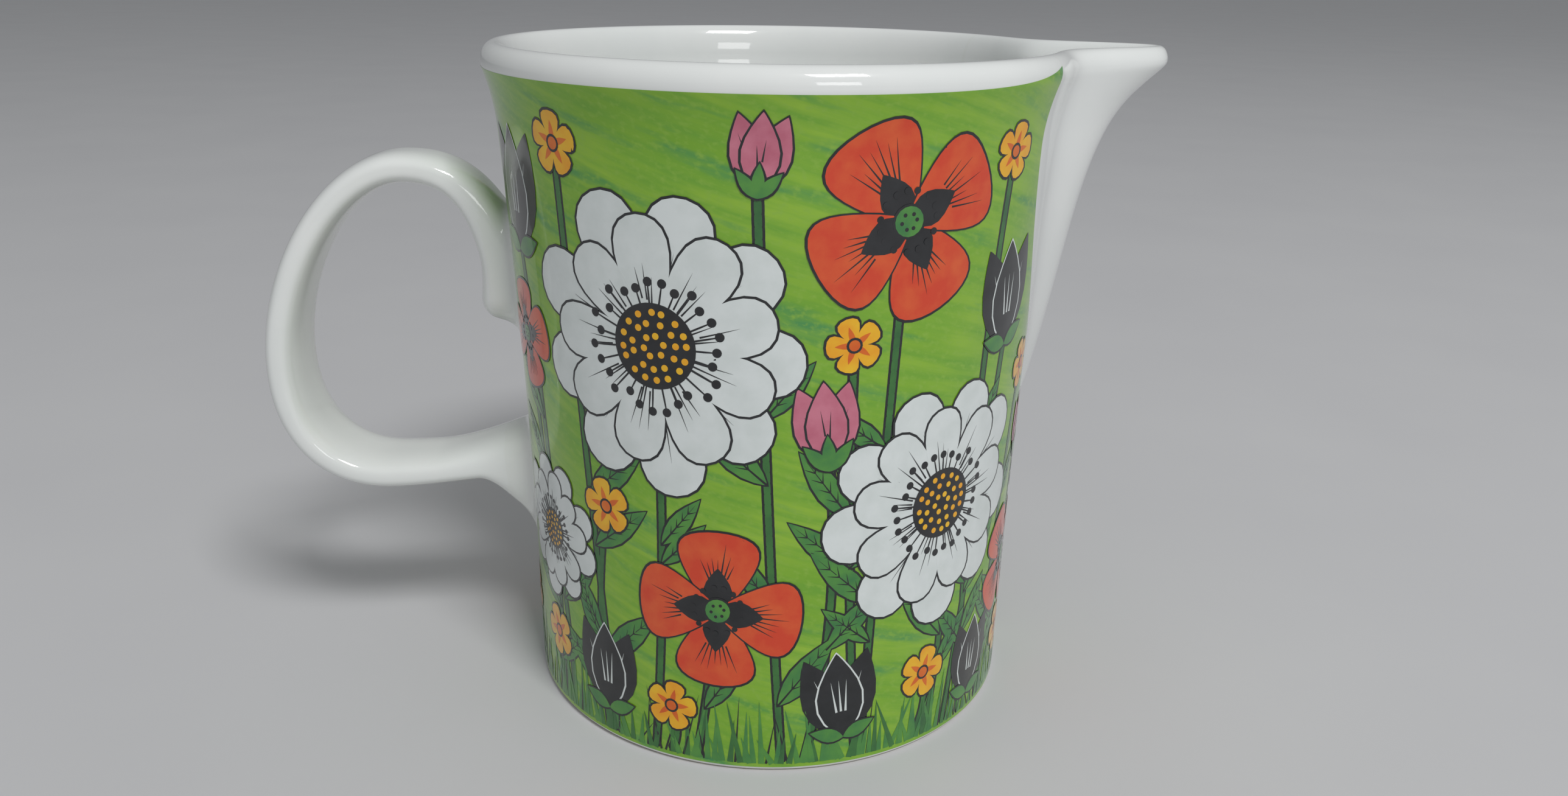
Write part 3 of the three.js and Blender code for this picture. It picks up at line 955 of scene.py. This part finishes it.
class GeometryWiring(Wiring):
    """A Geometry Nodes tree under construction."""

    def __init__(self, name, inputs):
        super().__init__(bpy.data.node_groups.new(name, "GeometryNodeTree"))
        self.sockets = {}
        for label, kind in inputs.items():
            socket = self.tree.interface.new_socket(label, in_out="INPUT", socket_type=f"NodeSocket{kind}")
            self.sockets[label] = socket.identifier
        self.tree.interface.new_socket("Geometry", in_out="OUTPUT", socket_type="NodeSocketGeometry")
        self.given = self.add("NodeGroupInput", {})

    def maths(self, operation, first, second=0.0, clamp=False):
        return self.add("ShaderNodeMath", {0: first, 1: second}, operation=operation, use_clamp=clamp)[0]

    def attribute(self, name, kind):
        return self.add("GeometryNodeInputNamedAttribute", {"Name": name}, data_type=kind)["Attribute"]


WRAP_SIZES = {
    "Axis X": AXIS * MM,
    "Foot Radius": FOOT_RADIUS * MM,
    "Wall Spread": WALL_SPREAD * MM,
    "Wall Curve": WALL_CURVE,
    "Lip Flare": LIP_FLARE * MM,
    "Flare Start": FLARE_START * MM,
    "Rim Widest": RIM_WIDEST * MM,
    "Mean Radius": WALL_MEAN * MM,
}


def wall_wrap():
    """A tree that sets a mark on each point of the flattened wall, and wraps the marks around the jug."""
    inputs = {"Geometry": "Geometry", "Marks": "Collection", "Ink": "Material", "Side": "Float"}
    wire = GeometryWiring("wall_wrap", {**inputs, **{size: "Float" for size in WRAP_SIZES}})
    given = wire.given
    points = wire.add("GeometryNodeMeshToPoints", {"Mesh": given["Geometry"]})["Points"]
    shapes = wire.add("GeometryNodeCollectionInfo", {"Collection": given["Marks"], "Separate Children": True})
    turn = wire.add("ShaderNodeCombineXYZ", {"Z": wire.attribute("turn", "FLOAT")})["Vector"]
    settings = {
        "Points": points,
        "Instance": shapes["Instances"],
        "Pick Instance": True,
        "Instance Index": wire.attribute("kind", "INT"),
        "Rotation": turn,
        "Scale": wire.attribute("size", "FLOAT_VECTOR"),
    }
    placed = wire.add("GeometryNodeInstanceOnPoints", settings)["Instances"]
    solid = wire.add("GeometryNodeRealizeInstances", {"Geometry": placed})["Geometry"]
    spot = wire.add("GeometryNodeInputPosition", {})["Position"]
    along, height, lift = wire.add("ShaderNodeSeparateXYZ", {"Vector": spot}).values()
    rise = wire.maths("POWER", wire.maths("DIVIDE", height, given["Rim Widest"]), given["Wall Curve"])
    above = wire.maths("SUBTRACT", height, given["Flare Start"])
    flaring = wire.maths("SUBTRACT", given["Rim Widest"], given["Flare Start"])
    flare = wire.maths("POWER", wire.maths("DIVIDE", above, flaring, clamp=True), 2.0)
    radius = wire.maths("ADD", given["Foot Radius"], wire.maths("MULTIPLY", rise, given["Wall Spread"]))
    radius = wire.maths("ADD", radius, wire.maths("MULTIPLY", flare, given["Lip Flare"]))
    radius = wire.maths("ADD", radius, lift)
    angle = wire.maths("DIVIDE", along, given["Mean Radius"])
    outwards = wire.maths("MULTIPLY", radius, given["Side"])
    across = wire.maths("ADD", given["Axis X"], wire.maths("MULTIPLY", radius, wire.maths("SINE", angle)))
    depth = wire.maths("MULTIPLY", outwards, wire.maths("COSINE", angle))
    wrapped = wire.add("ShaderNodeCombineXYZ", {"X": across, "Y": depth, "Z": height})["Vector"]
    moved = wire.add("GeometryNodeSetPosition", {"Geometry": solid, "Position": wrapped})["Geometry"]
    inked = wire.add("GeometryNodeSetMaterial", {"Geometry": moved, "Material": given["Ink"]})["Geometry"]
    wire.add("NodeGroupOutput", {"Geometry": inked})
    return wire


def step(place, turn, distance):
    return (place[0] + distance * math.cos(turn), place[1] + distance * math.sin(turn))


def scaled(parts, length):
    return [part * length for part in parts]


class Meadow:
    """The marks of one side's drawing, gathered by ink."""

    def __init__(self, seed):
        self.chance = np.random.default_rng(seed)
        self.marks = {}

    def mark(self, ink, kind, place, layer, turn, length, width):
        marks = self.marks.setdefault(ink, [])
        level = INK_LEVEL_SPREAD * (len(marks) % INK_LEVELS) / INK_LEVELS
        lift = PRINT_TOP + INK_STEP * (layer + 0.5 + level)
        marks.append((*place, lift, KINDS.index(kind), turn, length, width))

    def outlined(self, ink, kind, place, layer, turn, length, width):
        start = step(place, turn, -INK_LINE)
        self.mark("black", kind, start, layer, turn, length + 2 * INK_LINE, width + 2 * INK_LINE)
        self.mark(ink, kind, place, layer + 1, turn, length, width)

    def dot(self, ink, place, layer, size, kind="disc"):
        self.mark(ink, kind, (place[0] - size / 2, place[1]), layer, 0, size, size)

    def outlined_dot(self, ink, place, layer, size):
        self.outlined(ink, "disc", (place[0] - size / 2, place[1]), layer, 0, size, size)

    def ring_of_dots(self, ink, place, layer, radius, count, size):
        for spot in range(count):
            turn = 2 * math.pi * (spot + self.chance.uniform(0, DOT_STRAY)) / count
            self.dot(ink, step(place, turn, radius), layer, size)

    def veins(self, place, layer, turn, length, spread, count):
        """Fine lines that fan out over a petal."""
        for part in np.linspace(-spread, spread, count):
            start = step(place, turn + part * VEIN_FAN, length * self.chance.uniform(*VEIN_STARTS))
            drawn = length * self.chance.uniform(*VEIN_LENGTHS)
            self.mark("black", "stroke", start, layer, turn + part, drawn, FINE_LINE)

    def daisy(self, place, layer, reach):
        spin = self.chance.uniform(0, 2 * math.pi)
        for row, (size, offset) in enumerate(DAISY_ROWS):
            height = layer + PETAL_LAYERS * row
            for petal in range(DAISY_PETALS):
                stray = self.chance.normal(0, DAISY_STRAY)
                turn = spin + (petal + offset) * 2 * math.pi / DAISY_PETALS + stray
                length = reach * size * self.chance.uniform(*DAISY_LENGTHS)
                self.outlined("white", "petal", place, height, turn, *scaled(DAISY_PETAL, length))
                self.veins(place, height + 2, turn, length, *DAISY_VEINS)
        top = layer + PETAL_LAYERS * len(DAISY_ROWS)
        for turn in np.linspace(0, 2 * math.pi, DAISY_STAMENS, endpoint=False):
            tip = self.chance.uniform(*DAISY_STAMEN_LENGTHS) * reach
            self.mark("black", "dash", place, top, turn, tip, FINE_LINE)
            self.dot("black", step(place, turn, tip), top, reach * DAISY_ANTHER)
        self.dot("black", place, top + 1, reach * DAISY_EYE, "broad_disc")
        for radius, count in DAISY_SEED_RINGS:
            self.ring_of_dots("yellow", place, top + 2, reach * radius, count, reach * DAISY_SEED)

    def poppy(self, place, layer, reach):
        """Two pairs of petals across each other, the second pair on top."""
        spin = self.chance.uniform(0, math.pi)
        for petal in range(POPPY_PETALS):
            pair = petal // 2
            turn = spin + (petal % 2) * math.pi + pair * math.pi / 2 + self.chance.normal(0, POPPY_STRAY)
            height = layer + PETAL_LAYERS * pair
            self.outlined("red", "broad_petal", place, height, turn, *scaled(POPPY_PETAL, reach))
            self.mark("black", "broad_leaf", place, height + 2, turn, *scaled(POPPY_BLOTCH, reach))
            self.veins(step(place, turn, reach * POPPY_VEIN_FOOT), height + 2, turn, reach, *POPPY_VEINS)
        top = layer + PETAL_LAYERS * (POPPY_PETALS // 2)
        self.outlined_dot("leaf", place, top, reach * POPPY_POD)
        for order, (radius, count, size) in enumerate(POPPY_DOT_RINGS):
            self.ring_of_dots("black", place, top + 1 + order, reach * radius, count, reach * size)

    def tulip(self, place, layer, reach):
        """Two dark petals behind a third one with a white edge, and two sepals."""
        lean = math.pi / 2 + self.chance.normal(0, TULIP_STRAY)
        start, length = scaled(TULIP_GLINT, reach)
        for turn in (lean - TULIP_SPLAY, lean + TULIP_SPLAY):
            self.mark("black", "broad_leaf", place, layer, turn, *scaled(TULIP_PETAL, reach))
            self.mark("white", "stroke", step(place, turn, start), layer + 1, turn, length, TULIP_LINE)
        middle = scaled(TULIP_MIDDLE, reach)
        edged = [size + 2 * TULIP_LINE for size in middle]
        self.mark("white", "broad_leaf", step(place, lean, -TULIP_LINE), layer + 2, lean, *edged)
        self.mark("black", "broad_leaf", place, layer + 3, lean, *middle)
        start, length = scaled(TULIP_STREAK, reach)
        for part in TULIP_STREAK_TURNS:
            foot = step(place, lean + part, start)
            turn = lean + part * TULIP_STREAK_FAN
            self.mark("white", "stroke", foot, layer + 4, turn, length, TULIP_STREAK_LINE)
        for turn in (lean - TULIP_SEPAL_SPLAY, lean + TULIP_SEPAL_SPLAY):
            self.outlined("leaf", "leaf", place, layer + 4, turn, *scaled(TULIP_SEPAL, reach))

    def bud(self, place, layer, reach):
        """Three closed petals, the middle one on top, in three sepals."""
        lean = math.pi / 2 + self.chance.normal(0, BUD_STRAY)
        for turn in (lean - BUD_SPLAY, lean + BUD_SPLAY, lean):
            height = layer + (PETAL_LAYERS if turn == lean else 0)
            self.outlined("pink", "broad_leaf", place, height, turn, *scaled(BUD_PETAL, reach))
            self.veins(place, height + 2, turn, reach, *BUD_VEINS)
        foot = step(place, lean, -reach * BUD_SEPAL_FOOT)
        for turn in (lean - BUD_SEPAL_SPLAY, lean + BUD_SEPAL_SPLAY, lean):
            self.outlined("leaf", "leaf", foot, layer + 5, turn, *scaled(BUD_SEPAL, reach))

    def buttercup(self, place, layer, reach):
        spin = self.chance.uniform(0, 2 * math.pi)
        for petal in range(BUTTERCUP_PETALS):
            turn = spin + petal * 2 * math.pi / BUTTERCUP_PETALS
            self.outlined("yellow", "small_petal", place, layer, turn, *scaled(BUTTERCUP_PETAL, reach))
            self.mark("orange", "leaf", place, layer + 2, turn, *scaled(BUTTERCUP_THROAT, reach))
        self.outlined_dot("orange", place, layer + PETAL_LAYERS, reach * BUTTERCUP_EYE)

    def leaf(self, place, layer, turn, length):
        self.outlined("leaf", "leaf", place, layer, turn, *scaled(LEAF_BLADE, length))
        rib, vein = scaled((LEAF_RIB, LEAF_VEIN), length)
        self.mark("black", "stroke", place, layer + 2, turn, rib, RIB_LINE)
        for part in np.linspace(*LEAF_VEIN_PLACES):
            start = step(place, turn, length * part)
            for splay in (-LEAF_VEIN_SPLAY, LEAF_VEIN_SPLAY):
                self.mark("black", "stroke", start, layer + 2, turn + splay, vein, LEAF_VEIN_LINE)

    def stalk(self, flower, foot, leaves):
        """A stalk from the foot up to a flower, bent to one side, with leaves on it."""
        sideways = self.chance.uniform(-STALK_BEND, STALK_BEND)
        bend = ((flower[0] + foot[0]) / 2 + sideways, (flower[1] + foot[1]) / 2)
        count = STALK_FEWEST_POINTS + int(abs(flower[1] - foot[1]) / STALK_STEP)
        line = bezier([foot, bend, flower], count)
        for start, end in zip(line, line[1:]):
            turn = math.atan2(*(end - start)[::-1])
            length = np.linalg.norm(end - start) * STALK_OVERLAP
            self.outlined("stem", "dash", tuple(start), 0, turn, length, STALK_WIDTH)
        for part in leaves:
            spot = tuple(line[int(part * (count - 1))])
            side = self.chance.choice([-1, 1])
            turn = math.pi / 2 + side * self.chance.uniform(*STALK_LEAF_TURNS)
            self.leaf(spot, 2, turn, self.chance.uniform(*STALK_LEAF_LENGTHS))

    def grass(self):
        """Blades of grass along the foot of the print."""
        for spot in np.arange(-GRASS_REACH, GRASS_REACH, GRASS_GAP):
            ink = self.chance.choice(GRASS_INKS)
            start = (spot + self.chance.uniform(-GRASS_STRAY, GRASS_STRAY), FOOT_BAND + GRASS_FOOT)
            turn = math.pi / 2 + self.chance.normal(0, GRASS_LEAN)
            length = self.chance.uniform(*GRASS_LENGTHS)
            layer = self.chance.integers(*GRASS_LAYERS)
            self.mark(ink, "stroke", start, layer, turn, length, GRASS_WIDTHS[ink])


def drawn_meadow(flowers, seed):
    meadow = Meadow(seed)
    meadow.grass()
    for kind, places in flowers.items():
        for along, height, reach in places:
            stray = meadow.chance.uniform(-STALK_STRAY, STALK_STRAY)
            foot = (along * STALK_GATHER + stray, FOOT_BAND + STALK_FOOT)
            if height > foot[1] + reach:
                count = int((height - foot[1]) / STALK_LEAF_GAP)
                meadow.stalk((along, height), foot, meadow.chance.uniform(*STALK_LEAF_PLACES, count))
            getattr(meadow, kind)((along, height), FLOWER_LAYER[kind], reach)
    return meadow


def make_meadow(name, side, flowers, seed, inks, marks, wire):
    """The drawing on one side as one piece for each ink."""
    for ink, rows in drawn_meadow(flowers, seed).marks.items():
        along, height, lift, kind, turn, length, width = np.array(rows).T
        spots = new_mesh(f"{name}_{ink}_spots", np.stack([along, height, lift], -1) * MM, [])
        size = np.stack([length * MM, width * MM, np.ones(len(rows))], -1)
        spots.attributes.new("kind", "INT", "POINT").data.foreach_set("value", kind.astype(int))
        spots.attributes.new("turn", "FLOAT", "POINT").data.foreach_set("value", turn)
        spots.attributes.new("size", "FLOAT_VECTOR", "POINT").data.foreach_set("vector", size.ravel())
        holder = shown(spots.name, spots)
        wrap = holder.modifiers.new("wrap", "NODES")
        wrap.node_group = wire.tree
        for label, value in {**WRAP_SIZES, "Marks": marks, "Side": side, "Ink": inks[ink]}.items():
            wrap[wire.sockets[label]] = value
        ready = holder.evaluated_get(bpy.context.evaluated_depsgraph_get())
        mesh = bpy.data.meshes.new_from_object(ready)
        holder.modifiers.clear()
        bpy.data.objects.remove(holder)
        fitted(finished(f"{name}_{ink}", mesh), "print")


# Stage, light and camera


def make_camera():
    lens = bpy.data.cameras.new("camera")
    lens.lens = CAMERA_LENS
    lens.sensor_width = SENSOR_WIDTH
    lens.shift_x = PHOTO_CENTRE_SHIFT / PHOTO_WIDTH
    lens.clip_start = NEAREST_SEEN * MM
    camera = shown("camera", lens)
    ahead = Vector((0, math.cos(CAMERA_PITCH), -math.sin(CAMERA_PITCH)))
    above = Vector((0, math.sin(CAMERA_PITCH), math.cos(CAMERA_PITCH)))
    right = Vector((1, 0, 0)) * math.cos(CAMERA_ROLL) + above * math.sin(CAMERA_ROLL)
    up = above * math.cos(CAMERA_ROLL) - Vector((1, 0, 0)) * math.sin(CAMERA_ROLL)
    facing = Matrix((right, up, -ahead)).transposed().to_4x4()
    place = Matrix.Translation(Vector((0, -CAMERA_DISTANCE, CAMERA_HEIGHT)) * MM)
    axis = Matrix.Translation((AXIS * MM, 0, 0))
    camera.matrix_world = axis @ Matrix.Rotation(-JUG_TURN, 4, "Z") @ place @ facing
    bpy.context.scene.camera = camera


def make_light(name, place, aim, size, power):
    """A soft rectangular lamp. Places and sizes are metres."""
    lamp = bpy.data.lights.new(name, "AREA")
    lamp.shape = "RECTANGLE"
    lamp.size, lamp.size_y = size
    lamp.energy = power
    holder = shown(name, lamp)
    holder.location = place
    holder.rotation_euler = (Vector(aim) - Vector(place)).to_track_quat("-Z", "Y").to_euler()


def make_stage():
    scene = bpy.context.scene
    scene.view_settings.view_transform = "Standard"
    world = bpy.data.worlds.new("soft_room")
    world.use_nodes = True
    room = world.node_tree.nodes["Background"]
    room.inputs["Color"].default_value = ROOM_COLOUR
    room.inputs["Strength"].default_value = ROOM_STRENGTH
    scene.world = world
    corners = [(TABLE_REACH * x, TABLE_REACH * y, 0) for x, y in ((-1, -1), (1, -1), (1, 1), (-1, 1))]
    table = new_mesh("table", corners, [(0, 1, 2, 3)])
    finish = Finish("table_paper", roughness=0.8, coat=0)
    cloud = finish.noise(size=60, detail=3)
    finish.colour(finish.blend(cloud, rgb(204, 204, 206), rgb(211, 211, 212)))
    table.materials.append(finish.material)
    floor = shown("table", table)
    middle = (AXIS * MM, 0, RIM_HEIGHT / 2 * MM)
    make_light("main", place=(0.44, -0.9, 1.29), aim=middle, size=(0.48, 0.32), power=13)
    make_light("window", place=(0.24, -0.68, 0.26), aim=middle, size=(0.2, 0.15), power=0.4)


china = china_finish("white_china", rgb(236, 238, 236), rgb(230, 233, 231))
slip = china_finish("white_slip", rgb(234, 236, 233), rgb(228, 231, 228))
make_camera()
make_stage()
make_cup(china, biscuit_finish())
make_beak(china)
make_beak_slip(slip)
make_handle(china)
make_handle_slip("upper_slip", "handle_upper_seam", slip, low=BOW_HEIGHT, high=RIM_HEIGHT)
make_handle_slip("lower_slip", "handle_lower_seam", slip, low=0, high=BOW_HEIGHT)
ground = ground_finish()
make_print("green_sheet_near", "print_near", NEAR_SIDE, ground)
make_print("green_sheet_far", "print_far", FAR_SIDE, ground)
inks = {
    ink: ink_finish(f"{ink}_ink", rgb(*wash), rgb(*deep))
    for ink, (wash, deep) in INK_COLOURS.items()
}
marks = make_marks()
wire = wall_wrap()
make_meadow("meadow_near", NEAR_SIDE, NEAR_FLOWERS, NEAR_SEED, inks, marks, wire)
make_meadow("meadow_far", FAR_SIDE, FAR_FLOWERS, FAR_SEED, inks, marks, wire)
for mark in list(marks.objects):
    bpy.data.objects.remove(mark)
bpy.data.collections.remove(marks)
bpy.data.node_groups.remove(wire.tree)
